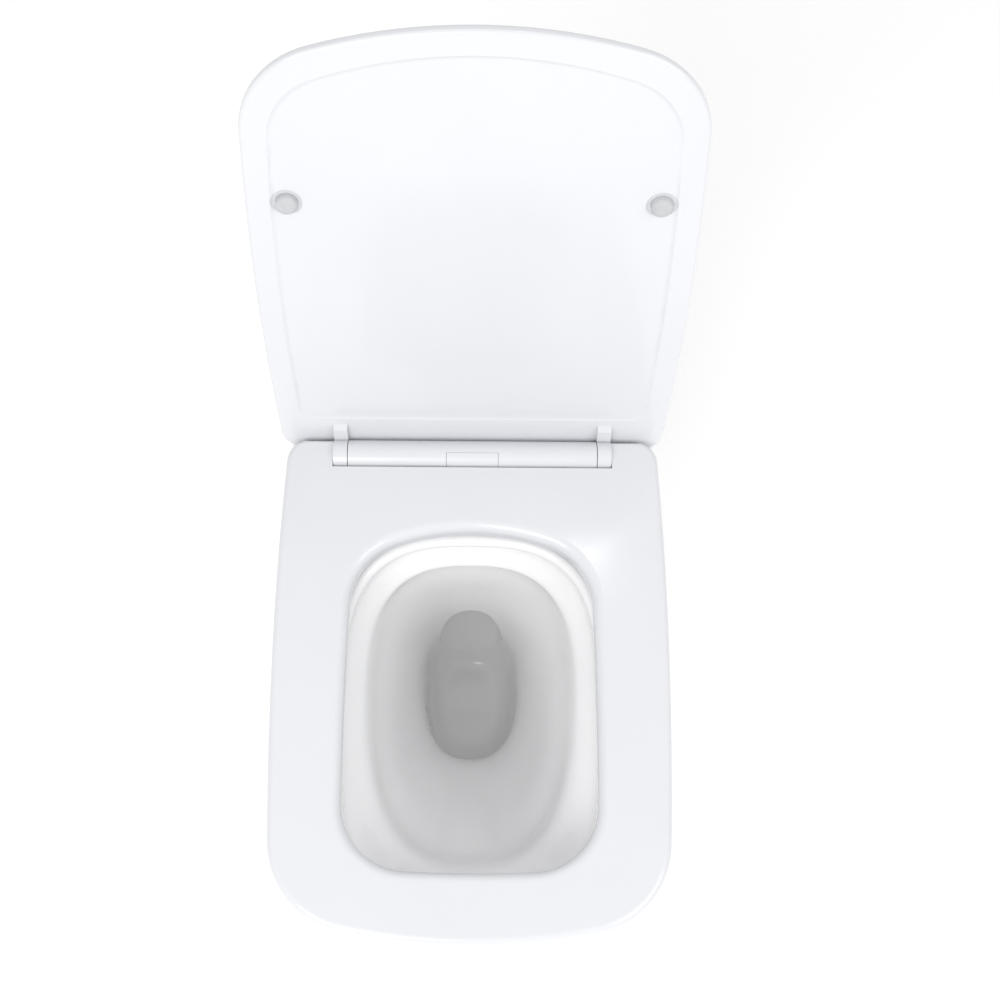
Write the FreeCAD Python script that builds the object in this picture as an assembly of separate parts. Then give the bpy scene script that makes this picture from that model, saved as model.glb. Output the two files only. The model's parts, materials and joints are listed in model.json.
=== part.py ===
"""Close coupled toilet pan with a soft-close seat and lid on a quick-release hinge bar.

The frame's origin is at floor level under the middle of the pan. Y points back to the wall
and Z up, so the pan faces -Y, and X is to the right as seen from the front. Left and right
in the names are as seen from the front. All sizes are in millimetres.
"""

import FreeCAD, Part
import os
from math import cos, pi, radians, sin, sqrt
from FreeCAD import Vector

# ---- driving dimensions -------------------------------------------------------------------
RIM_Z = 405.0                 # top face of the china
FRONT_Y = -325.0              # front edge of the seat
WALL_Y = 325.0                # back of the pan, against the wall
CHINA = 12.0                  # thickness of the china walls
DECK_T = 18.0                 # thickness of the rim and of the cistern deck

# Hinge bar, about an axis along X
AXIS_Y = 115.0
AXIS_Z = RIM_Z + 15.5
BOSS_R = 15.0                 # radius of the hinge bar and of the lid's ears about the axis
BAR_HALF = 116.0              # half length of the hinge bar
BAR_BACK = 10.0               # the bar's back below the axis is set in, clear of the open lid
BAR_BOTTOM = RIM_Z + 0.75
PLATE_TOP = RIM_Z + 3.0       # top of the plate that closes the bar from below
HINGE_WALL = 2.25
EAR_IN, EAR_OUT = 116.7, 129.6   # faces of the lid's ears
LOBE_IN = 130.0               # inner faces of the seat's hinge lobes
SCREW_X = 50.0                # screws that hold the plate to the bar

# Seat
SEAT_BOTTOM = RIM_Z + 7.5
SEAT_T = 18.0
SEAT_TOP = SEAT_BOTTOM + SEAT_T
SEAT_REAR = AXIS_Y + 14.0
SEAT_HALVES = (172.6, 174.8, 162.0)   # half widths at the rear, the widest and the front corners
SEAT_SAG = 25.0               # how far the front edge bows out between its corners
SEAT_CORNER_R = 78.0
SEAT_WALL = 9.0               # the seat is hollow underneath, inside this edge
SEAT_SKIN = 6.0
OPENING_REAR, OPENING_FRONT, OPENING_HALF = 37.0, -268.0, 108.0
OPENING_WALL = 10.0
BUMPER_PLACES = [(140.0, 40.0), (134.0, -225.0)]

# Lid
LID_LIFT = 16.0               # underside of the closed lid above the hinge axis
LID_BOTTOM = AXIS_Z + LID_LIFT
LID_T = 12.0
LID_OPEN = 100.0              # the lid at rest leans back this far from closed, in degrees
LID_END = 9.0                 # how far the lid reaches behind the hinge axis, closed
LID_OVER_FRONT = 9.0          # how far the closed lid stands out past the seat
LID_OVER_SIDE = 5.9
LID_SAG = 37.0
LID_CORNER_R = 78.0
DISH_INSET, DISH_DEPTH = 15.0, 0.8   # the shallow field in the lid's underside
DIMPLE_R, DIMPLE_DEPTH = 13.5, 1.8   # the dimple round each of the lid's bumpers
LID_BUMPER_X, LID_BUMPER_Y = 143.8, -181.5

# Dampers and shafts
SHAFT_R = 4.0
SHAFT_FLAT = 2.9              # half of the width across the flats
BUSH_R = 5.6
DAMPER_R = 7.0
DAMPER_IN, DAMPER_OUT = 58.0, 113.0
DAMPER_LUG = 4.9              # half the side of the square lug that keeps a damper from turning
ROTOR_R = 5.2
ROTOR_IN, ROTOR_OUT = 82.0, 106.0
FIT = 0.05                    # radial clearance of a running fit

# Fixings through the china, and the quick release
POST_X = 77.5                 # seat fixing holes, 155 apart
POST_Y = AXIS_Y - 2.5
PAD_TOP = RIM_Z + 0.6         # top of the pad under a post's flange
STUD_R = 3.0
TRAVEL = 3.4                  # of the release button, and of the two latch slides
BUTTON_HALF = 24.0
BUTTON_BACK = AXIS_Y - 3.25
SPRING_Y = AXIS_Y - 6.5
SPRING_TOP = AXIS_Z + 6.0
SLIDE_Z0, SLIDE_Z1 = PLATE_TOP + 0.4, PLATE_TOP + 2.4
SLIDE_FRONT, SLIDE_BACK = AXIS_Y - 12.0, AXIS_Y + 7.0
CAM_X, CAM_Z = 14.0, RIM_Z + 12.0
PIN_R = 1.4
LEG_FRONT, LEG_BACK = AXIS_Y - 9.6, AXIS_Y - 8.0

# Water ways and floor fixings
OUTLET_Z = 180.0              # centre of the horizontal outlet above the floor
OUTLET_R = 51.0
OUTLET_WALL = 8.0
TRAP_R = 34.0                 # inside radius of the trapway
TRAP_WALL = 11.0
CISTERN_X = 75.0              # cistern bolt holes, 150 apart
CISTERN_Y = 250.0
INLET_R, INLET_Y = 26.0, 250.0   # clear behind the open lid
HOLE_R = 7.0                  # holes through the deck for studs and bolts
SIDE_SCREW_Y, SIDE_SCREW_Z = 200.0, 45.0
SIDE_SCREW_R = 2.5
SIDE_HOLE_R = 5.0
BRACKET_GAP = 3.4             # the body narrows to the front, so the bracket stands clear of it
BRACKET_T = 4.0

os.makedirs("parts", exist_ok=True)


# ---- helpers --------------------------------------------------------------------------------
def save(node, shape):
    """Write one sub-part, and say how many solids it holds and whether they are sound."""
    solids = shape.Solids
    shape = solids[0] if len(solids) == 1 else Part.makeCompound(solids)
    extent = shape.optimalBoundingBox(False, False)
    print(f"{node:22s} solids {len(solids)} valid {shape.isValid()} volume {shape.Volume / 1000:9.2f} cm3",
          f"x {extent.XMin:.1f}..{extent.XMax:.1f} y {extent.YMin:.1f}..{extent.YMax:.1f}",
          f"z {extent.ZMin:.1f}..{extent.ZMax:.1f}")
    shape.exportStep(f"parts/{node}.step")


def box(x0, x1, y0, y1, z0, z1):
    return Part.makeBox(x1 - x0, y1 - y0, z1 - z0, Vector(x0, y0, z0))


def rod_x(x0, x1, radius, y=AXIS_Y, z=AXIS_Z):
    """A cylinder along X between two values of x, given in either order."""
    low = min(x0, x1)
    return Part.makeCylinder(radius, abs(x1 - x0), Vector(low, y, z), Vector(1, 0, 0))


def rod_y(y0, y1, radius, x, z):
    return Part.makeCylinder(radius, y1 - y0, Vector(x, y0, z), Vector(0, 1, 0))


def rod_z(z0, z1, radius, x, y):
    return Part.makeCylinder(radius, z1 - z0, Vector(x, y, z0))


def slab_x(x0, x1, half, y=AXIS_Y, z=AXIS_Z, reach=20.0):
    """A slab along X that leaves two flats, at half above and below z."""
    low = min(x0, x1)
    return Part.makeBox(abs(x1 - x0), 2 * reach, 2 * half, Vector(low, y - reach, z - half))


def fuse(shapes):
    shapes = list(shapes)
    whole = shapes[0]
    for shape in shapes[1:]:
        whole = whole.fuse(shape)
    return whole.removeSplitter()


def cut(shape, tools):
    for tool in tools:
        shape = shape.cut(tool)
    return shape


def both(make):
    """The same thing on the right (side 1) and on the left (side -1)."""
    return [make(side) for side in (1, -1)]


def plan_prism(z0, z1, rear, front, half_rear, half_mid, half_front, sag_front, sag_rear, r_rear, r_front):
    """A prism with four slightly bowed sides and rounded corners: the plan of the seat and lid."""
    middle = (rear + front) / 2 + 100
    rear_left, rear_right = Vector(-half_rear, rear, z0), Vector(half_rear, rear, z0)
    front_right = Vector(half_front, front + sag_front, z0)
    front_left = Vector(-half_front, front + sag_front, z0)
    if sag_rear:
        rear_left.y = rear_right.y = rear - sag_rear
        rear_edge = Part.Arc(rear_left, Vector(0, rear, z0), rear_right).toShape()
    else:
        rear_edge = Part.makeLine(rear_left, rear_right)
    edges = [
        rear_edge,
        Part.Arc(rear_right, Vector(half_mid, middle, z0), front_right).toShape(),
        Part.Arc(front_right, Vector(0, front, z0), front_left).toShape(),
        Part.Arc(front_left, Vector(-half_mid, middle, z0), rear_left).toShape(),
    ]
    prism = Part.Face(Part.Wire(edges)).extrude(Vector(0, 0, z1 - z0))
    for radius, is_rear in ((r_rear, True), (r_front, False)):
        corners = [e for e in prism.Edges if is_upright(e) and (e.Vertexes[0].Y > middle) == is_rear]
        prism = prism.makeFillet(radius, corners)
    return prism


def is_upright(edge):
    first, last = edge.Vertexes[0].Point, edge.Vertexes[-1].Point
    return abs(first.x - last.x) < 1e-6 and abs(first.y - last.y) < 1e-6 and abs(first.z - last.z) > 1e-6


def edges_at(shape, z):
    """The edges that lie flat at one height."""
    return [e for e in shape.Edges if abs(e.BoundBox.ZMin - z) < 1e-4 and abs(e.BoundBox.ZMax - z) < 1e-4]


def power(value, exponent):
    return abs(value) ** exponent * (1 if value >= 0 else -1)


def egg(z, half, rear, front, square_rear, square_front, points=28):
    """A closed smooth outline, square-ish by the given powers, longer towards the front."""
    middle = rear - (rear - front) * 0.42
    outline = []
    for i in range(points):
        angle = 2 * pi * i / points
        square = square_rear if sin(angle) > 0 else square_front
        length = rear - middle if sin(angle) > 0 else middle - front
        x = half * power(cos(angle), 2 / square)
        y = middle + length * power(sin(angle), 2 / square)
        outline.append(Vector(x, y, z))
    curve = Part.BSplineCurve()
    curve.interpolate(outline, PeriodicFlag=True)
    return Part.Wire(curve.toShape())


def loft(wires):
    return Part.makeLoft(wires, True, False)


# ---- pan ------------------------------------------------------------------------------------
# Outside of the body, from the floor up: height, front edge, half width where the front
# rounds off, half width at the wall.
BODY = [
    (0.0, -222.0, 120.0, 136.0),
    (60.0, -226.0, 121.0, 137.0),
    (150.0, -243.0, 128.0, 145.0),
    (240.0, -274.0, 142.0, 158.0),
    (310.0, -302.0, 159.0, 170.0),
    (360.0, -317.0, 167.0, 176.0),
    (RIM_Z, -322.0, 169.5, 178.5),
]
SHOULDER_Y = 20.0             # where the straight sides begin to round towards the front

# Inside of the bowl, from the rim down: height, half width, rear, front, powers.
BOWL = [
    (RIM_Z + 1.0, 115.0, 43.0, -274.0, 2.7, 4.6),
    (388.0, 112.5, 40.0, -271.0, 2.7, 4.4),
    (372.0, 105.0, 33.0, -263.0, 2.6, 3.8),
    (362.0, 98.0, 28.0, -255.0, 2.6, 3.3),
    (354.0, 95.0, 34.0, -250.0, 2.5, 3.0),
    (320.0, 88.0, 38.0, -234.0, 2.5, 2.8),
    (280.0, 78.0, 37.5, -206.0, 2.5, 2.6),
    (240.0, 68.0, 37.0, -172.0, 2.5, 2.5),
    (200.0, 57.0, 36.5, -132.0, 2.6, 2.4),
    (175.0, 51.0, 36.5, -112.0, 2.6, 2.4),
    (130.0, 47.0, 35.0, -100.0, 2.7, 2.5),
    (106.0, 41.0, 28.0, -90.0, 2.6, 2.4),
    (97.0, 26.0, 12.0, -70.0, 2.4, 2.2),
]

# Centre line of the trapway, in the plane of symmetry: up to the weir, over, and out.
TRAP_CLIMB = 50.0             # degrees above level
TRAP_FALL = 40.0
CROWN_R = 60.0                # bend over the weir, and the bend out of the fall
WEIR_Z = 221.0                # centre line over the weir
TRAP_START = Vector(0, 2.0, 128.0)


def body_outline(z, front, half_front, half_rear, inset=0.0, points=13):
    """The plan of the pan's body at one height: a straight back and one smooth run round the front."""
    front, half_front, half_rear = front + inset, half_front - inset, half_rear - inset
    rear = WALL_Y
    half_way = (half_rear + half_front) / 2 + 1.5
    run = [Vector(half_rear, rear, z), Vector(half_way, (rear + SHOULDER_Y) / 2, z)]
    for i in range(points):
        angle = pi * i / (points - 1)
        x = half_front * power(cos(angle), 2 / 3.6)
        y = SHOULDER_Y - (SHOULDER_Y - front) * power(sin(angle), 2 / 3.2)
        run.append(Vector(x, y, z))
    run.append(Vector(-run[1].x, run[1].y, z))
    run.append(Vector(-half_rear, rear, z))
    curve = Part.BSplineCurve()
    curve.interpolate(run)
    return Part.Wire([curve.toShape(), Part.makeLine(run[-1], run[0])])


def tube(path, radius):
    """A round bar along a path of lines and tangent arcs."""
    start = path.Edges[0]
    heading = start.tangentAt(start.FirstParameter)
    ring = Part.Wire(Part.makeCircle(radius, start.valueAt(start.FirstParameter), heading))
    return path.makePipeShell([ring], True, False)


def trap_path():
    climb, fall = radians(TRAP_CLIMB), radians(TRAP_FALL)
    rise = WEIR_Z - CROWN_R * (1 - cos(climb)) - TRAP_START.z
    up = TRAP_START + Vector(0, rise / sin(climb) * cos(climb), rise)
    crown = up + Vector(0, CROWN_R * sin(climb), -CROWN_R * cos(climb))
    top = crown + Vector(0, 0, CROWN_R)
    over = crown + Vector(0, CROWN_R * sin(fall), CROWN_R * cos(fall))
    drop = over.z - CROWN_R * (1 - cos(fall)) - OUTLET_Z
    down = over + Vector(0, drop / sin(fall) * cos(fall), -drop)
    turn = down + Vector(0, CROWN_R * sin(fall), CROWN_R * cos(fall))
    level = turn - Vector(0, 0, CROWN_R)
    half_fall = fall / 2
    middle = turn + Vector(0, -CROWN_R * sin(half_fall), -CROWN_R * cos(half_fall))
    end = Vector(0, WALL_Y - 20.0, OUTLET_Z)
    return Part.Wire([
        Part.makeLine(TRAP_START, up),
        Part.Arc(up, top, over).toShape(),
        Part.makeLine(over, down),
        Part.Arc(down, middle, level).toShape(),
        Part.makeLine(level, end),
    ])


def make_pan():
    body = loft([body_outline(*row) for row in BODY])
    hollow_rows = [(z, front, half_front, half_rear, CHINA) for z, front, half_front, half_rear in BODY]
    hollow_rows[0] = (-1.0,) + hollow_rows[0][1:]
    hollow_rows[-1] = (RIM_Z - DECK_T,) + hollow_rows[-1][1:]
    hollow = loft([body_outline(*row) for row in hollow_rows])
    back_web = box(-200, 200, WALL_Y - CHINA, WALL_Y + 1, 330.0, RIM_Z)
    shell = body.cut(hollow.cut(back_web))

    outside = loft([egg(z, half + CHINA, rear + CHINA, front - CHINA, a, b)
                    for z, half, rear, front, a, b in BOWL[:-1]]
                   + [egg(BOWL[-1][0] - CHINA, BOWL[-1][1] + 6, BOWL[-1][2] + 4, BOWL[-1][3] - 6, 2.3, 2.2)])
    outside = outside.common(box(-200, 200, -400, 400, 0, RIM_Z))
    inside = loft([egg(*row) for row in BOWL])

    path = trap_path()
    trap_outside = tube(path, TRAP_R + TRAP_WALL)
    trap_inside = tube(path, TRAP_R)
    spigot = rod_y(WALL_Y - 95, WALL_Y - 20, OUTLET_R, 0, OUTLET_Z)
    spigot_bore = rod_y(WALL_Y - 88, WALL_Y - 19, OUTLET_R - OUTLET_WALL, 0, OUTLET_Z)
    cone_start = Vector(0, WALL_Y - 110, OUTLET_Z)
    cone_bore = Part.makeCone(TRAP_R, OUTLET_R - OUTLET_WALL, 22, cone_start, Vector(0, 1, 0))

    # The flush water runs from the inlet, forward under the deck, into the back of the bowl.
    channel_outside = box(-46, 46, 44, INLET_Y + 44, RIM_Z - 68, RIM_Z - 2)
    channel_inside = box(-36, 36, 52, INLET_Y + 34, RIM_Z - 58, RIM_Z - DECK_T)
    slot = box(-30, 30, 20, 60, RIM_Z - 57, RIM_Z - 47)

    pan = fuse([shell, outside, trap_outside, spigot, channel_outside])
    pan = cut(pan, [inside, trap_inside, spigot_bore, cone_bore, channel_inside, slot])

    seat_holes = both(lambda side: rod_z(RIM_Z - 40, RIM_Z + 1, HOLE_R, side * POST_X, POST_Y))
    bolt_holes = both(lambda side: rod_z(RIM_Z - 40, RIM_Z + 1, HOLE_R, side * CISTERN_X, CISTERN_Y))
    inlet = rod_z(RIM_Z - 45, RIM_Z + 1, INLET_R, 0, INLET_Y)
    side_holes = both(lambda side: rod_x(side * 100, side * 190, SIDE_HOLE_R, SIDE_SCREW_Y, SIDE_SCREW_Z))
    pan = cut(pan, seat_holes + bolt_holes + [inlet] + side_holes)
    return round_rim(pan)


def round_rim(pan):
    """Soften the glazed edges of the top face."""
    outer = [e for e in edges_at(pan, RIM_Z) if e.BoundBox.XLength > 330]
    inner = [e for e in edges_at(pan, RIM_Z) if 150 < e.BoundBox.XLength < 260]
    for edges, radius in ((outer, 6.0), (inner, 7.0)):
        try:
            rounded = pan.makeFillet(radius, edges)
            if rounded.isValid():
                pan = rounded
        except Part.OCCError:
            print("edge kept sharp, radius", radius)
    return pan


# ---- fixings to the floor ---------------------------------------------------------------
def side_wall_x():
    """Half the body's width at the side screws."""
    probe = rod_x(60, 220, 0.5, SIDE_SCREW_Y, SIDE_SCREW_Z)
    body = loft([body_outline(*row) for row in BODY])
    return body.common(probe).optimalBoundingBox(False, False).XMax


def make_floor_bracket(side, wall_x):
    """An angle on the floor, inside the body, that the side screw pulls the china against."""
    inner = side * (wall_x - CHINA - BRACKET_GAP)
    y0, y1 = SIDE_SCREW_Y - 25, SIDE_SCREW_Y + 25
    foot = box(*sorted((inner, inner - side * 45)), y0, y1, 0, BRACKET_T)
    plate = box(*sorted((inner, inner - side * BRACKET_T)), y0, y1, 0, 68)
    floor_hole = rod_z(-1, 5, 4.5, inner - side * 26, SIDE_SCREW_Y)
    screw_hole = rod_x(inner + side, inner - side * 5, SIDE_SCREW_R, SIDE_SCREW_Y, SIDE_SCREW_Z)
    return cut(foot.fuse(plate).removeSplitter(), [floor_hole, screw_hole])


def make_side_screw(side, wall_x):
    head_in = side * (wall_x - 5)
    head = rod_x(side * (wall_x - 1), head_in, SIDE_HOLE_R - 0.4, SIDE_SCREW_Y, SIDE_SCREW_Z)
    shank = rod_x(head_in, side * (wall_x - 28), SIDE_SCREW_R, SIDE_SCREW_Y, SIDE_SCREW_Z)
    return head.fuse(shank).removeSplitter()


def make_side_cap(side, wall_x):
    face = side * (wall_x + 0.7)
    disc = rod_x(face, face + side * 3.0, 9.0, SIDE_SCREW_Y, SIDE_SCREW_Z)
    disc = disc.makeFillet(2.0, [e for e in disc.Edges if abs(e.CenterOfMass.x - face - side * 3.0) < 1e-3])
    plug = rod_x(side * (wall_x - 0.8), face, SIDE_HOLE_R - 0.1, SIDE_SCREW_Y, SIDE_SCREW_Z)
    return disc.fuse(plug).removeSplitter()


# ---- seat -----------------------------------------------------------------------------------
def seat_plan(z0, z1, inset=0.0, rear=SEAT_REAR, r_rear=22.0):
    halves = [half - inset for half in SEAT_HALVES]
    return plan_prism(z0, z1, rear, FRONT_Y + inset, *halves, SEAT_SAG, 0, r_rear, SEAT_CORNER_R - inset)


def opening_plan(z0, z1, out=0.0):
    halves = (OPENING_HALF - 0.5 + out, OPENING_HALF + out, OPENING_HALF - 2.5 + out)
    rear, front = OPENING_REAR + out, OPENING_FRONT - out
    return plan_prism(z0, z1, rear, front, *halves, 5.0, 32.0, 62.0 + out * 0.6, 57.0 + out * 0.7)


def make_seat():
    seat = seat_plan(SEAT_BOTTOM, SEAT_TOP)
    seat = seat.makeFillet(6.0, edges_at(seat, SEAT_TOP))
    seat = seat.makeFillet(2.5, edges_at(seat, SEAT_BOTTOM))
    seat = seat.cut(opening_plan(SEAT_BOTTOM - 1, SEAT_TOP + 1))
    seat = seat.makeFillet(9.0, opening_edges(seat, SEAT_TOP))
    seat = seat.makeFillet(2.5, opening_edges(seat, SEAT_BOTTOM))
    lobe_round = rod_x(-200, 200, SEAT_REAR - AXIS_Y).fuse(box(-200, 200, -400, AXIS_Y, 400, 440))
    seat = seat.common(lobe_round)

    bar_gap = box(-LOBE_IN, LOBE_IN, AXIS_Y - BOSS_R - 1.0, AXIS_Y + 30, 400, 440)
    groove_rear = AXIS_Y - BOSS_R - 7.0
    groove = seat_plan(SEAT_BOTTOM - 1, SEAT_TOP - SEAT_SKIN, SEAT_WALL, groove_rear, 14.0)
    groove = groove.cut(opening_plan(SEAT_BOTTOM - 2, SEAT_TOP, OPENING_WALL))
    places = [(side * x, y) for side in (1, -1) for x, y in BUMPER_PLACES]
    bosses = [rod_z(SEAT_BOTTOM, SEAT_TOP - 5, 12.0, x, y) for x, y in places]
    pegs = [rod_z(SEAT_BOTTOM - 1, SEAT_BOTTOM + 7, 3.0, x, y) for x, y in places]

    bush_bore = rod_x(-LOBE_IN + 1, -LOBE_IN - 17, BUSH_R)
    key_bore = rod_x(LOBE_IN - 1, LOBE_IN + 16, SHAFT_R + FIT).common(
        slab_x(LOBE_IN - 1, LOBE_IN + 16, SHAFT_FLAT + FIT))
    return cut(seat, [bar_gap, cut(groove, bosses), bush_bore, key_bore] + pegs)


def opening_edges(shape, z):
    """The edges round the seat's opening at one height."""
    return [e for e in edges_at(shape, z) if within_opening(e.BoundBox)]


def within_opening(bounds):
    along = bounds.YMin > OPENING_FRONT - 1 and bounds.YMax < OPENING_REAR + 1
    across = bounds.XMax < OPENING_HALF + 4 and bounds.XMin > -OPENING_HALF - 4
    return along and across


def make_seat_bumper(side, x, y):
    foot = rod_z(RIM_Z + 0.3, SEAT_BOTTOM, 9.0, side * x, y)
    foot = foot.makeFillet(2.0, edges_at(foot, RIM_Z + 0.3))
    peg = rod_z(SEAT_BOTTOM, SEAT_BOTTOM + 6.5, 3.0, side * x, y)
    return foot.fuse(peg).removeSplitter()


# ---- lid, made closed and then swung open ---------------------------------------------------
def swing_open(shape):
    shape = shape.copy()
    shape.rotate(Vector(0, AXIS_Y, AXIS_Z), Vector(1, 0, 0), -LID_OPEN)
    return shape


def lid_plan(z0, z1, inset=0.0, rear=AXIS_Y + LID_END):
    halves = [half + LID_OVER_SIDE - inset for half in SEAT_HALVES]
    front = FRONT_Y - LID_OVER_FRONT + inset
    return plan_prism(z0, z1, rear, front, *halves, LID_SAG, 0, 22.0, LID_CORNER_R - inset)


def make_lid():
    lid = lid_plan(LID_BOTTOM, LID_BOTTOM + LID_T)
    lid = lid.makeFillet(7.0, edges_at(lid, LID_BOTTOM + LID_T))
    lid = lid.makeFillet(3.0, edges_at(lid, LID_BOTTOM))
    dish = lid_plan(LID_BOTTOM - 10, LID_BOTTOM + DISH_DEPTH, DISH_INSET, AXIS_Y - 31.0)
    dish = dish.makeFillet(8.0, edges_at(dish, LID_BOTTOM + DISH_DEPTH))
    lid = lid.cut(dish)
    lid = cut(lid, both(make_dimple))
    lid = lid.fuse([make_ear(side) for side in (1, -1)]).removeSplitter()

    peg_holes = both(lambda side: rod_z(LID_BOTTOM, LID_BOTTOM + 9, 3.0, side * LID_BUMPER_X, LID_BUMPER_Y))
    bush_bore = rod_x(EAR_IN - 1, EAR_OUT + 1, BUSH_R)
    key_bore = rod_x(-EAR_IN + 1, -EAR_OUT - 1, SHAFT_R + FIT).common(
        slab_x(-EAR_IN + 1, -EAR_OUT - 1, SHAFT_FLAT + FIT))
    return swing_open(cut(lid, peg_holes + [bush_bore, key_bore]))


def make_dimple(side):
    """The space of the round dimple that a lid bumper sits in, with a soft edge."""
    floor = LID_BOTTOM + DIMPLE_DEPTH
    dimple = rod_z(LID_BOTTOM - 5, floor, DIMPLE_R, side * LID_BUMPER_X, LID_BUMPER_Y)
    return dimple.makeFillet(4.0, edges_at(dimple, floor))


def make_ear(side):
    """A round boss on the hinge axis, with a web that runs forward along the lid's underside."""
    x0, x1 = sorted((side * EAR_IN, side * EAR_OUT))
    boss = rod_x(x0, x1, BOSS_R)
    lift = 11.3                   # underside of the web above the axis
    web = [
        (AXIS_Y - 29.0, LID_BOTTOM + 1),
        (AXIS_Y - 24.0, AXIS_Z + lift),
        (AXIS_Y - sqrt(BOSS_R ** 2 - lift ** 2), AXIS_Z + lift),
        (AXIS_Y, AXIS_Z),
        (AXIS_Y + BOSS_R * 0.6, AXIS_Z + BOSS_R * 0.8),
        (AXIS_Y + 3.0, LID_BOTTOM + 1),
    ]
    points = [Vector(x0, y, z) for y, z in web]
    plate = Part.Face(Part.makePolygon(points + points[:1])).extrude(Vector(x1 - x0, 0, 0))
    return boss.fuse(plate).removeSplitter()


def make_lid_bumper(side):
    """A domed button in the lid's underside that meets the seat when the lid is closed."""
    x, y = side * LID_BUMPER_X, LID_BUMPER_Y
    tip = SEAT_TOP + 0.4
    base = LID_BOTTOM + DIMPLE_DEPTH
    puck = rod_z(tip, base, 9.0, x, y)
    puck = puck.makeFillet(4.5, edges_at(puck, tip))
    peg = rod_z(base, LID_BOTTOM + 8.5, 3.0, x, y)
    return swing_open(puck.fuse(peg).removeSplitter())


# ---- hinge bar ------------------------------------------------------------------------------
def bar_solid(inset, x0, x1, bottom):
    """The bar's section, rounded over the hinge axis, run along X."""
    round_top = rod_x(x0, x1, BOSS_R - inset)
    base = box(x0, x1, AXIS_Y - BOSS_R + inset, AXIS_Y + BAR_BACK - inset, bottom, AXIS_Z)
    return round_top.fuse(base).removeSplitter().common(box(x0, x1, 0, 200, bottom, 500))


def damper_rib(side, x, square=False):
    """A rib inside the bar that holds a damper down into its place."""
    x0, x1 = sorted((side * x, side * (x + 2.0)))
    rib = bar_solid(HINGE_WALL - 0.1, x0, x1, AXIS_Z - 4.0)
    if square:
        half = DAMPER_LUG + 0.1
        hole = box(x0 - 1, x1 + 1, AXIS_Y - half, AXIS_Y + half, AXIS_Z - 20, AXIS_Z + half)
    else:
        hole = rod_x(x0 - 1, x1 + 1, DAMPER_R)
    below = box(x0 - 1, x1 + 1, AXIS_Y - DAMPER_R, AXIS_Y + DAMPER_R, AXIS_Z - 30, AXIS_Z)
    return cut(rib, [hole, below])


def button_window(gap):
    """The space of the release button in the bar's skin; with a gap, room for its travel too."""
    bottom = AXIS_Z + 2.0
    if gap:
        bottom -= TRAVEL + 0.6
    return box(-BUTTON_HALF - gap, BUTTON_HALF + gap, AXIS_Y - 20, BUTTON_BACK + gap, bottom, AXIS_Z + 20)


def make_housing():
    shell = bar_solid(0.0, -BAR_HALF, BAR_HALF, BAR_BOTTOM)
    inner = bar_solid(HINGE_WALL, -BAR_HALF + 2.5, BAR_HALF - 2.5, BAR_BOTTOM - 1)
    shell = shell.cut(inner)
    rib_places = ((59.0, True), (84.0, False), (106.0, False))
    ribs = [damper_rib(side, x, square) for side in (1, -1) for x, square in rib_places]
    posts = both(lambda side: rod_z(PLATE_TOP, AXIS_Z + 12.5, 3.4, side * SCREW_X, POST_Y))
    housing = fuse([shell] + ribs + posts)
    shaft_holes = both(lambda side: rod_x(side * 110, side * 120, SHAFT_R + 0.6))
    pilots = both(lambda side: rod_z(PLATE_TOP - 1, AXIS_Z + 6, 1.25, side * SCREW_X, POST_Y))
    return cut(housing, [button_window(0.3)] + shaft_holes + pilots)


def make_base_plate():
    y0, y1 = AXIS_Y - BOSS_R + HINGE_WALL + 0.15, AXIS_Y + BAR_BACK - HINGE_WALL - 0.15
    plate = box(-113.3, 113.3, y0, y1, BAR_BOTTOM, PLATE_TOP)
    peg = rod_z(PLATE_TOP, PLATE_TOP + 3, 1.9, 0, SPRING_Y)
    plate = plate.fuse(peg).removeSplitter()
    post_holes = both(lambda side: rod_z(BAR_BOTTOM - 1, PLATE_TOP + 1, 8.4, side * POST_X, POST_Y))
    screw_holes = both(lambda side: rod_z(BAR_BOTTOM - 1, PLATE_TOP + 1, 1.6, side * SCREW_X, POST_Y))
    sinks = both(lambda side: rod_z(BAR_BOTTOM - 1, BAR_BOTTOM + 1.2, 2.9, side * SCREW_X, POST_Y))
    return cut(plate, post_holes + screw_holes + sinks)


def make_plate_screw(side):
    head = rod_z(BAR_BOTTOM + 0.1, BAR_BOTTOM + 1.2, 2.7, side * SCREW_X, POST_Y)
    shank = rod_z(BAR_BOTTOM + 1.2, AXIS_Z - 2, 1.25, side * SCREW_X, POST_Y)
    return head.fuse(shank).removeSplitter()


# ---- dampers and bushes -----------------------------------------------------------------------
def make_damper_body(side):
    barrel = rod_x(side * (DAMPER_IN + 4), side * (DAMPER_OUT - 4.5), DAMPER_R)
    x0, x1 = sorted((side * DAMPER_IN, side * (DAMPER_IN + 5)))
    y0, y1 = AXIS_Y - DAMPER_LUG, AXIS_Y + DAMPER_LUG
    lug = box(x0, x1, y0, y1, AXIS_Z - DAMPER_LUG, AXIS_Z + DAMPER_LUG)
    chamber = rod_x(side * ROTOR_IN, side * (DAMPER_OUT - 4), ROTOR_R + FIT)
    return barrel.fuse(lug).removeSplitter().cut(chamber)


def make_damper_cap(side):
    ring = rod_x(side * (DAMPER_OUT - 4.5), side * DAMPER_OUT, DAMPER_R)
    collar = rod_x(side * (DAMPER_OUT - 6.5), side * (DAMPER_OUT - 4.5), ROTOR_R)
    return ring.fuse(collar).removeSplitter().cut(rod_x(side * 100, side * 120, SHAFT_R + FIT))


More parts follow.
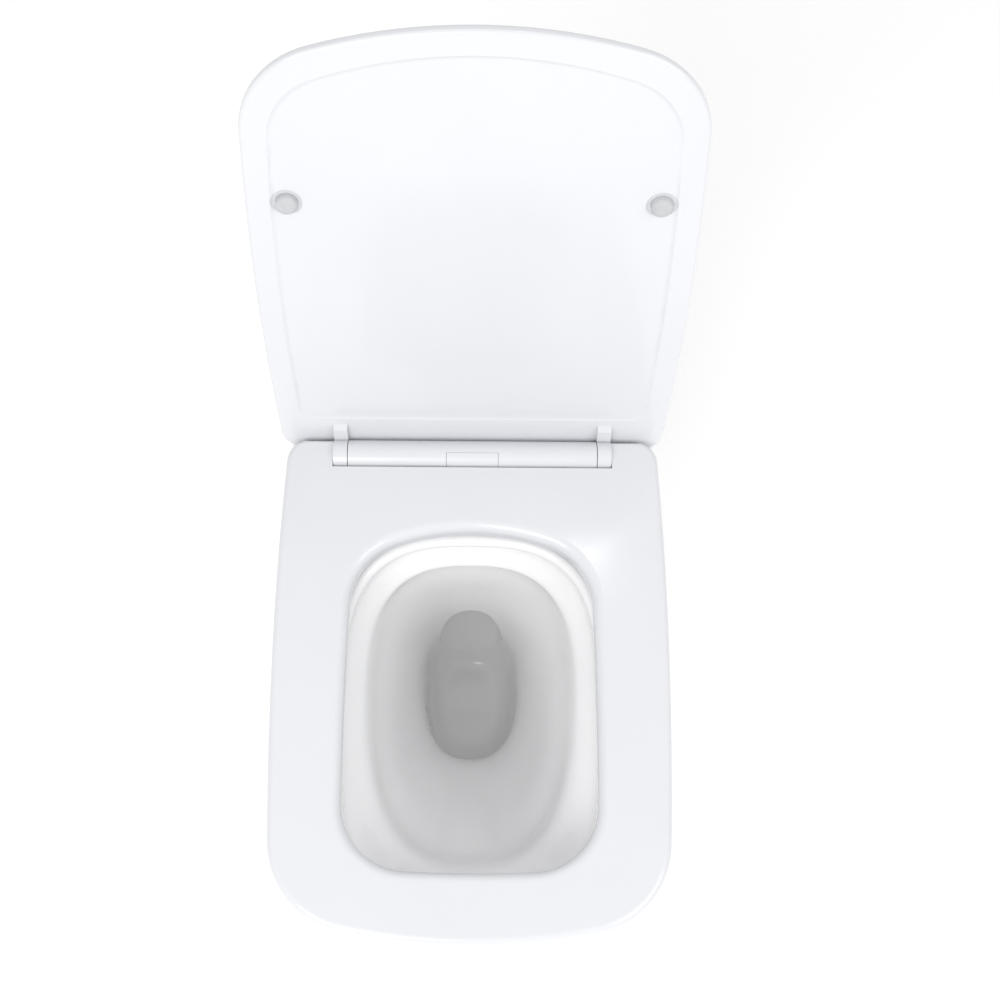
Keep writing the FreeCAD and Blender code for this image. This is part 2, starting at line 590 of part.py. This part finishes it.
def make_damper_shaft(side, keyed_from, keyed_to):
    """A rotor in the damper with a shaft through the ear into the lobe, flat-sided where it drives."""
    rotor = rod_x(side * (ROTOR_IN + 0.3), side * ROTOR_OUT, ROTOR_R)
    x0, x1 = sorted((side * (ROTOR_IN + 2), side * (ROTOR_OUT - 2)))
    sides = (AXIS_Y - ROTOR_R, AXIS_Y + ROTOR_R)
    grooves = [box(x0, x1, y - 2, y + 2, AXIS_Z - 2.2, AXIS_Z + 2.2) for y in sides]
    shaft = rod_x(side * ROTOR_OUT, side * (LOBE_IN + 15.0), SHAFT_R)
    flats = rod_x(side * keyed_from, side * keyed_to, SHAFT_R + 1).cut(
        slab_x(side * keyed_from, side * keyed_to, SHAFT_FLAT))
    return cut(cut(rotor, grooves).fuse(shaft).removeSplitter(), [flats])


def make_bush(side, x0, x1):
    return rod_x(side * x0, side * x1, BUSH_R).cut(rod_x(side * (x0 - 1), side * (x1 + 1), SHAFT_R + FIT))


# ---- quick release --------------------------------------------------------------------------
def make_button():
    skin = bar_solid(0.0, -BUTTON_HALF, BUTTON_HALF, BAR_BOTTOM)
    skin = skin.cut(bar_solid(HINGE_WALL, -30, 30, BAR_BOTTOM - 1)).common(button_window(0.0))
    skirt_front = AXIS_Y - BOSS_R + HINGE_WALL + 0.45
    skirt_half = BUTTON_HALF - 0.5
    skirt = box(-skirt_half, skirt_half, skirt_front, skirt_front + 1.2, AXIS_Z - 4, SPRING_TOP)
    web = box(-20, 20, skirt_front, BUTTON_BACK - 0.5, SPRING_TOP, SPRING_TOP + 2)
    rib = box(-20, 20, AXIS_Y - 6, AXIS_Y - 4, SPRING_TOP, AXIS_Z + BOSS_R)
    inside = bar_solid(HINGE_WALL - 0.1, -30, 30, BAR_BOTTOM)
    web = web.fuse(rib).common(inside)
    spring_peg = rod_z(SPRING_TOP - 3, SPRING_TOP, 1.9, 0, SPRING_Y)
    legs = [box(x, x + 11, LEG_FRONT, LEG_BACK, CAM_Z - 2.7, SPRING_TOP + 1) for x in (-21, 10)]
    button = fuse([skin, skirt, web, spring_peg] + legs)
    return cut(button, both(cam_slot))


def cam_slot(side):
    """A 45 degree slot: the button goes down by TRAVEL and the pin goes out by TRAVEL."""
    y0, y1 = LEG_FRONT - 1, LEG_BACK + 1
    radius = PIN_R + 0.1
    low = rod_y(y0, y1, radius, side * CAM_X, CAM_Z)
    high = rod_y(y0, y1, radius, side * (CAM_X + TRAVEL), CAM_Z + TRAVEL)
    across = Vector(-side * radius / sqrt(2), 0, radius / sqrt(2))
    start, end = Vector(side * CAM_X, y0, CAM_Z), Vector(side * (CAM_X + TRAVEL), y0, CAM_Z + TRAVEL)
    corners = [start + across, end + across, end - across, start - across, start + across]
    between = Part.Face(Part.makePolygon(corners)).extrude(Vector(0, y1 - y0, 0))
    return fuse([low, high, between])


def make_latch_slide(side):
    """A flat slide with a keyhole that grips the post's neck, worked by the button's cam."""
    plate = box(*sorted((side * 8, side * 92)), SLIDE_FRONT, SLIDE_BACK, SLIDE_Z0, SLIDE_Z1)
    wide = rod_z(SLIDE_Z0 - 1, SLIDE_Z1 + 1, 6.6, side * (POST_X - TRAVEL), POST_Y)
    keyhole = slide_slot(side, POST_X, 3.7)
    passage = slide_slot(side, SCREW_X, 4.0)
    tab_x = sorted((side * (CAM_X - 3), side * (CAM_X + 3)))
    tab = box(*tab_x, LEG_BACK + 0.3, LEG_BACK + 2.0, SLIDE_Z0, CAM_Z + 2.5)
    pin = rod_y(LEG_FRONT - 0.2, LEG_BACK + 1.0, PIN_R, side * CAM_X, CAM_Z)
    return fuse([cut(plate, [wide, keyhole, passage]), tab, pin])


def slide_slot(side, x, radius):
    """A round-ended slot through a slide, as long as the slide's travel."""
    z0, z1 = SLIDE_Z0 - 1, SLIDE_Z1 + 1
    ends = [rod_z(z0, z1, radius, side * place, POST_Y) for place in (x, x - TRAVEL)]
    between = box(*sorted((side * x, side * (x - TRAVEL))), POST_Y - radius, POST_Y + radius, z0, z1)
    return fuse(ends + [between])


def make_release_spring():
    """An open coil between the base plate and the button."""
    wire_r, coil_r, turns = 0.4, 2.8, 6
    length = SPRING_TOP - PLATE_TOP - 2 * wire_r
    helix = Part.makeHelix(length / turns, length, coil_r)
    start = helix.Edges[0]
    centre, heading = start.valueAt(start.FirstParameter), start.tangentAt(start.FirstParameter)
    ring = Part.Wire(Part.makeCircle(wire_r, centre, heading))
    coil = Part.Wire(helix.Edges).makePipeShell([ring], True, True)
    coil.translate(Vector(0, SPRING_Y, PLATE_TOP + wire_r))
    return coil


# ---- seat fixings through the pan -------------------------------------------------------------
def make_mounting_post(side):
    """A headed post on a flange, with its stud through the china."""
    x = side * POST_X
    return fuse([
        rod_z(PAD_TOP, PAD_TOP + 2, 8.0, x, POST_Y),
        rod_z(PAD_TOP + 2, RIM_Z + 6, 3.5, x, POST_Y),
        rod_z(RIM_Z + 6, RIM_Z + 7.4, 6.0, x, POST_Y),
        rod_z(RIM_Z - 62, PAD_TOP, STUD_R, x, POST_Y),
    ])


def make_post_pad(side):
    return ring_z(RIM_Z, PAD_TOP, 8.0, STUD_R + 0.1, side * POST_X)


def ring_z(z0, z1, outer, inner, x):
    """A flat ring on a stud of the seat fixings."""
    return rod_z(z0, z1, outer, x, POST_Y).cut(rod_z(z0 - 1, z1 + 1, inner, x, POST_Y))


def make_cone_washer(side):
    """A rubber cone that centres the stud in the china's hole."""
    x, under = side * POST_X, RIM_Z - DECK_T
    cone = Part.makeCone(6.9, 5.2, 10, Vector(x, POST_Y, under))
    flange = rod_z(under - 4, under, 12.0, x, POST_Y)
    return cone.fuse(flange).removeSplitter().cut(rod_z(under - 5, under + 11, STUD_R + 0.1, x, POST_Y))


def make_fixing_washer(side):
    top = RIM_Z - DECK_T - 4
    return ring_z(top - 1.5, top, 11.0, STUD_R + 0.2, side * POST_X)


def make_wing_nut(side):
    """A moulded nut with two finger wings, free to spin on its stud."""
    x, top = side * POST_X, RIM_Z - DECK_T - 5.8
    collar = rod_z(top - 3, top, 9.0, x, POST_Y)
    hub = rod_z(top - 16, top - 3, 6.5, x, POST_Y)
    wings = box(x - 18, x + 18, POST_Y - 1.8, POST_Y + 1.8, top - 22, top - 3)
    wings = wings.makeFillet(5.0, [e for e in wings.Edges if e.Length < 4 and e.BoundBox.ZMax < top - 20])
    bore = rod_z(top - 30, top + 1, STUD_R + FIT, x, POST_Y)
    return fuse([collar, hub, wings]).cut(bore)


# ---- build ------------------------------------------------------------------------------------
SIDES = ((-1, "left"), (1, "right"))

save("pan", make_pan())
save("seat", make_seat())
seat_bumpers = [make_seat_bumper(side, x, y) for side, _ in SIDES for x, y in BUMPER_PLACES]
save("seat_bumpers", Part.makeCompound(seat_bumpers))
save("lid", make_lid())
save("lid_bumpers", Part.makeCompound(both(make_lid_bumper)))
save("hinge_housing", make_housing())
save("hinge_base_plate", make_base_plate())
save("base_plate_screws", Part.makeCompound(both(make_plate_screw)))
save("damper_caps", Part.makeCompound(both(make_damper_cap)))
save("damper_shaft_left", swing_open(make_damper_shaft(-1, EAR_IN - 0.2, EAR_OUT + 0.2)))
save("damper_shaft_right", make_damper_shaft(1, LOBE_IN - 0.2, LOBE_IN + 15.5))
save("hinge_bush_left", make_bush(-1, LOBE_IN, LOBE_IN + 16.0))
save("hinge_bush_right", make_bush(1, EAR_IN, EAR_OUT))
save("release_button", make_button())
save("release_spring", make_release_spring())
save("post_pads", Part.makeCompound(both(make_post_pad)))
save("cone_washers", Part.makeCompound(both(make_cone_washer)))
save("fixing_washers", Part.makeCompound(both(make_fixing_washer)))
wall_x = side_wall_x()
save("side_fixing_screws", Part.makeCompound([make_side_screw(side, wall_x) for side, _ in SIDES]))
save("side_caps", Part.makeCompound([make_side_cap(side, wall_x) for side, _ in SIDES]))
for side, name in SIDES:
    save(f"damper_body_{name}", make_damper_body(side))
    save(f"latch_slide_{name}", make_latch_slide(side))
    save(f"mounting_post_{name}", make_mounting_post(side))
    save(f"wing_nut_{name}", make_wing_nut(side))
    save(f"floor_bracket_{name}", make_floor_bracket(side, wall_x))
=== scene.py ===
"""A close coupled toilet pan with a soft-close seat, dressed for a studio render.

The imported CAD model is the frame. Every piece keeps the place and the body that it has
there, and this script gives it a glazed, moulded or machined finish, and sets the floor,
the lights and the camera. Lengths are in metres. Z is up, and the pan faces -Y.
"""
import json
import math

import bpy
from mathutils import Matrix, Vector

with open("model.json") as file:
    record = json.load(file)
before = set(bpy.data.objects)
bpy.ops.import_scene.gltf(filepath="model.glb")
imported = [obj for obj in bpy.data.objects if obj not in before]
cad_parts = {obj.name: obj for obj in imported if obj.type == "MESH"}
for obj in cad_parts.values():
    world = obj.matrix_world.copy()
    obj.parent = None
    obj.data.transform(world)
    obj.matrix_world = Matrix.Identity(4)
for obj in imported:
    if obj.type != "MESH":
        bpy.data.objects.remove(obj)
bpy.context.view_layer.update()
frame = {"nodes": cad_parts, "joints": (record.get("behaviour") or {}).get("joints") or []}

nodes = frame["nodes"]

# ---- places, read from the frame -------------------------------------------------------------
hinge = next(joint for joint in frame["joints"] if joint["name"] == "lid_hinge")
HINGE_AXIS = Vector(hinge["pos_m"])

# ---- camera and light ------------------------------------------------------------------------
CAMERA_FROM_HINGE = Vector((0.0, -0.574, 1.102))
CAMERA_PITCH = 64.35          # degrees below the horizon
CAMERA_ROLL = 0.44            # degrees
CAMERA_LENS = 47.5            # millimetres
CAMERA_SENSOR = 36.0          # millimetres
CAMERA_SHIFT = 0.028          # of the picture's width
CAMERA_NEAR, CAMERA_FAR = 0.05, 50.0
WORLD_STRENGTH = 0.79
FLOOR_SIZE = 16.0

# Name, place, the point it faces, width, height and watts. The two small ones are there for
# their reflections in the rear of the seat.
SOFTBOXES = [
    ("key_softbox", (-0.9, -1.8, 2.2), (0.0, 0.1, 0.6), 1.6, 1.2, 31.0),
    ("fill_softbox", (1.5, -1.0, 2.0), (0.0, 0.0, 0.5), 1.4, 1.4, 14.0),
    ("window_right", (0.27, 0.90, 2.4), (0.09, 0.02, 0.43), 0.15, 0.20, 0.5),
    ("window_left", (-0.17, 1.00, 2.4), (-0.06, 0.06, 0.43), 0.24, 0.12, 0.5),
]


# ---- shader helpers --------------------------------------------------------------------------
class Finish:
    """A material with one principled shader, and short ways to add texture to it."""

    def __init__(self, name, **sockets):
        self.material = bpy.data.materials.new(name)
        self.material.use_nodes = True
        self.tree = self.material.node_tree
        self.tree.nodes.clear()
        self.shader = self.add("ShaderNodeBsdfPrincipled")
        output = self.add("ShaderNodeOutputMaterial")
        self.link(self.shader.outputs["BSDF"], output.inputs["Surface"])
        for socket, value in sockets.items():
            self.shader.inputs[socket.replace("_", " ")].default_value = value
        self.place = self.add("ShaderNodeTexCoord").outputs["Object"]

    def add(self, kind, **settings):
        node = self.tree.nodes.new(kind)
        for key, value in settings.items():
            setattr(node, key, value)
        return node

    def link(self, source, target):
        self.tree.links.new(source, target)

    def coordinates(self, stretch):
        """Object coordinates, scaled apart along the axes."""
        mapping = self.add("ShaderNodeMapping")
        mapping.inputs["Scale"].default_value = stretch
        self.link(self.place, mapping.inputs["Vector"])
        return mapping.outputs["Vector"]

    def noise(self, size, detail=2.0, stretch=(1.0, 1.0, 1.0), distortion=0.0):
        """Cloudy noise whose lumps are about size across, from 0 to 1."""
        node = self.add("ShaderNodeTexNoise")
        node.inputs["Scale"].default_value = 1.0 / size
        node.inputs["Detail"].default_value = detail
        node.inputs["Distortion"].default_value = distortion
        self.link(self.coordinates(stretch), node.inputs["Vector"])
        return node.outputs["Fac"]

    def cells(self, size, feature="F1"):
        """Voronoi cells about size across: their distance, and a random colour for each."""
        node = self.add("ShaderNodeTexVoronoi", feature=feature)
        node.inputs["Scale"].default_value = 1.0 / size
        self.link(self.place, node.inputs["Vector"])
        return node.outputs["Distance"], node.outputs["Color"]

    def ramp(self, factor, *stops):
        """Colours along the factor: each stop is its place and its colour."""
        node = self.add("ShaderNodeValToRGB")
        elements = node.color_ramp.elements
        while len(elements) < len(stops):
            elements.new(0.5)
        for element, (place, colour) in zip(elements, stops):
            element.position = place
            element.color = (*colour, 1.0)
        self.link(factor, node.inputs["Fac"])
        return node.outputs["Color"]

    def between(self, factor, low, high, start=0.3, end=0.7):
        """A number that goes from low to high as the factor goes from start to end."""
        node = self.add("ShaderNodeMapRange")
        node.inputs["From Min"].default_value = start
        node.inputs["From Max"].default_value = end
        node.inputs["To Min"].default_value = low
        node.inputs["To Max"].default_value = high
        self.link(factor, node.inputs["Value"])
        return node.outputs["Result"]

    def colour(self, output):
        self.link(output, self.shader.inputs["Base Color"])

    def roughness(self, output):
        self.link(output, self.shader.inputs["Roughness"])

    def bumps(self, *layers):
        """Each layer is a height from 0 to 1 and the depth that it stands for."""
        normal = None
        for height, depth in layers:
            node = self.add("ShaderNodeBump")
            node.inputs["Strength"].default_value = 1.0
            node.inputs["Distance"].default_value = depth
            self.link(height, node.inputs["Height"])
            if normal is not None:
                self.link(normal, node.inputs["Normal"])
            normal = node.outputs["Normal"]
        self.link(normal, self.shader.inputs["Normal"])


def shade(colour, factor):
    """The same colour, lighter or darker."""
    return tuple(min(1.0, channel * factor) for channel in colour)


# ---- finishes --------------------------------------------------------------------------------
def glazed_china():
    """White vitreous china under a thick clear glaze that pools and ripples slightly."""
    finish = Finish("glazed_china", IOR=1.52)
    white = (0.87, 0.87, 0.875)
    pooled = finish.noise(0.14, detail=3.0)
    finish.colour(finish.ramp(pooled, (0.30, shade(white, 0.985)), (0.70, shade(white, 1.01))))
    finish.roughness(finish.between(finish.noise(0.05, detail=4.0), 0.045, 0.10))
    finish.bumps((finish.noise(0.06, detail=1.0), 0.00030), (finish.noise(0.004, detail=1.0), 0.000010))
    return finish.material


def moulded_seat():
    """Pressed urea plastic, hard and glossy, with the faint flow marks of its mould."""
    finish = Finish("moulded_seat", IOR=1.56)
    white = (0.690, 0.697, 0.722)
    flow = finish.noise(0.09, detail=3.0, stretch=(1.0, 0.5, 0.5), distortion=0.4)
    finish.colour(finish.ramp(flow, (0.30, shade(white, 0.99)), (0.70, shade(white, 1.008))))
    finish.roughness(finish.between(finish.noise(0.03, detail=5.0), 0.10, 0.17))
    finish.bumps((finish.noise(0.10, detail=0.0), 0.00022), (finish.noise(0.0022, detail=1.0), 0.000008))
    return finish.material


def moulded_bar():
    """Injection moulded hinge covers, a little softer in gloss than the seat."""
    finish = Finish("moulded_bar", IOR=1.49)
    white = (0.680, 0.687, 0.712)
    flow = finish.noise(0.03, detail=3.0, stretch=(0.35, 1.0, 1.0))
    finish.colour(finish.ramp(flow, (0.30, shade(white, 0.985)), (0.70, shade(white, 1.01))))
    finish.roughness(finish.between(finish.noise(0.012, detail=4.0), 0.22, 0.26))
    finish.bumps((finish.noise(0.0012, detail=2.0), 0.000012))
    return finish.material


def rubber(name, colour, grain):
    """Soft rubber with a fine matt grain and lighter scuffs."""
    finish = Finish(name, IOR=1.50, Specular_IOR_Level=0.4)
    scuffs = finish.noise(0.006, detail=5.0)
    stops = [(0.35, shade(colour, 0.93)), (0.65, colour), (0.80, shade(colour, 1.08))]
    finish.colour(finish.ramp(scuffs, *stops))
    finish.roughness(finish.between(scuffs, 0.48, 0.66))
    finish.bumps((finish.noise(grain, detail=3.0), 0.00004), (finish.noise(grain * 5, detail=1.0), 0.00005))
    return finish.material


def matt_plastic(name, colour):
    """Glass-filled plastic with spark-eroded texture."""
    finish = Finish(name, IOR=1.50)
    mottle = finish.noise(0.004, detail=4.0)
    finish.colour(finish.ramp(mottle, (0.30, shade(colour, 0.92)), (0.70, shade(colour, 1.06))))
    finish.roughness(finish.between(mottle, 0.36, 0.52))
    finish.bumps((finish.noise(0.0006, detail=2.0), 0.00003))
    return finish.material


def stainless_steel():
    """Turned and pressed stainless steel with fine drawn lines."""
    finish = Finish("stainless_steel", Metallic=1.0, IOR=2.5)
    drawn = finish.noise(0.0009, detail=3.0, stretch=(1.0, 1.0, 0.04))
    cloudy = finish.noise(0.012, detail=3.0)
    finish.colour(finish.ramp(cloudy, (0.30, (0.56, 0.555, 0.55)), (0.70, (0.66, 0.66, 0.665))))
    finish.roughness(finish.between(drawn, 0.22, 0.38))
    finish.bumps((drawn, 0.00002))
    return finish.material


def zinc_plate():
    """Galvanised sheet with its crystal spangle."""
    finish = Finish("zinc_plate", Metallic=0.9)
    distance, crystal = finish.cells(0.009)
    finish.colour(finish.ramp(crystal, (0.0, (0.42, 0.43, 0.45)), (1.0, (0.66, 0.67, 0.69))))
    finish.roughness(finish.between(distance, 0.30, 0.50, 0.0, 0.8))
    finish.bumps((distance, 0.00003), (finish.noise(0.001, detail=3.0), 0.00002))
    return finish.material


def pale_floor():
    """A smooth white floor that glows a little, so that it runs out to white like a light table."""
    finish = Finish("pale_floor", Emission_Color=(1.0, 1.0, 1.0, 1.0), Emission_Strength=0.08)
    clouds = finish.noise(0.8, detail=4.0)
    finish.colour(finish.ramp(clouds, (0.3, (0.950, 0.950, 0.952)), (0.7, (0.965, 0.965, 0.967))))
    finish.roughness(finish.between(clouds, 0.55, 0.65))
    return finish.material


FINISHES = {
    "china": glazed_china(),
    "seat_plastic": moulded_seat(),
    "bar_plastic": moulded_bar(),
    "grey_rubber": rubber("grey_rubber_cast", (0.52, 0.525, 0.54), 0.0009),
    "black_rubber": rubber("black_rubber_cast", (0.035, 0.035, 0.037), 0.0008),
    "inner_plastic": matt_plastic("acetal_grey", (0.42, 0.43, 0.45)),
    "nut_plastic": matt_plastic("nylon_white", (0.72, 0.72, 0.69)),
    "steel": stainless_steel(),
    "bracket_metal": zinc_plate(),
}

for node in nodes.values():
    slot = node.material_slots[0]
    slot.material = FINISHES[slot.material.name]


# ---- floor, light and camera -----------------------------------------------------------------
def make_floor():
    half = FLOOR_SIZE / 2
    corners = [(-half, -half, 0.0), (half, -half, 0.0), (half, half, 0.0), (-half, half, 0.0)]
    mesh = bpy.data.meshes.new("floor")
    mesh.from_pydata(corners, [], [(0, 1, 2, 3)])
    mesh.materials.append(pale_floor())
    floor = bpy.data.objects.new("floor", mesh)
    bpy.context.scene.collection.objects.link(floor)


def make_softbox(name, place, aim, width, height, watts):
    """A rectangular area light that faces a point."""
    light = bpy.data.lights.new(name, "AREA")
    light.shape = "RECTANGLE"
    light.size, light.size_y = width, height
    light.energy = watts
    softbox = bpy.data.objects.new(name, light)
    softbox.location = place
    softbox.rotation_euler = (Vector(aim) - Vector(place)).to_track_quat("-Z", "Y").to_euler()
    bpy.context.scene.collection.objects.link(softbox)


def make_world():
    world = bpy.data.worlds.new("studio")
    world.use_nodes = True
    background = world.node_tree.nodes["Background"]
    background.inputs["Color"].default_value = (1.0, 1.0, 1.0, 1.0)
    background.inputs["Strength"].default_value = WORLD_STRENGTH
    bpy.context.scene.world = world


def make_camera():
    camera_data = bpy.data.cameras.new("camera")
    camera_data.sensor_width = CAMERA_SENSOR
    camera_data.lens = CAMERA_LENS
    camera_data.shift_x = CAMERA_SHIFT
    camera_data.clip_start = CAMERA_NEAR
    camera_data.clip_end = CAMERA_FAR
    camera = bpy.data.objects.new("camera", camera_data)
    tilt = Matrix.Rotation(math.radians(90.0 - CAMERA_PITCH), 4, "X")
    roll = Matrix.Rotation(math.radians(CAMERA_ROLL), 4, "Z")
    camera.matrix_world = Matrix.Translation(HINGE_AXIS + CAMERA_FROM_HINGE) @ tilt @ roll
    bpy.context.scene.collection.objects.link(camera)
    bpy.context.scene.camera = camera


make_floor()
make_world()
for softbox_row in SOFTBOXES:
    make_softbox(*softbox_row)
make_camera()
bpy.context.scene.view_settings.view_transform = "Standard"
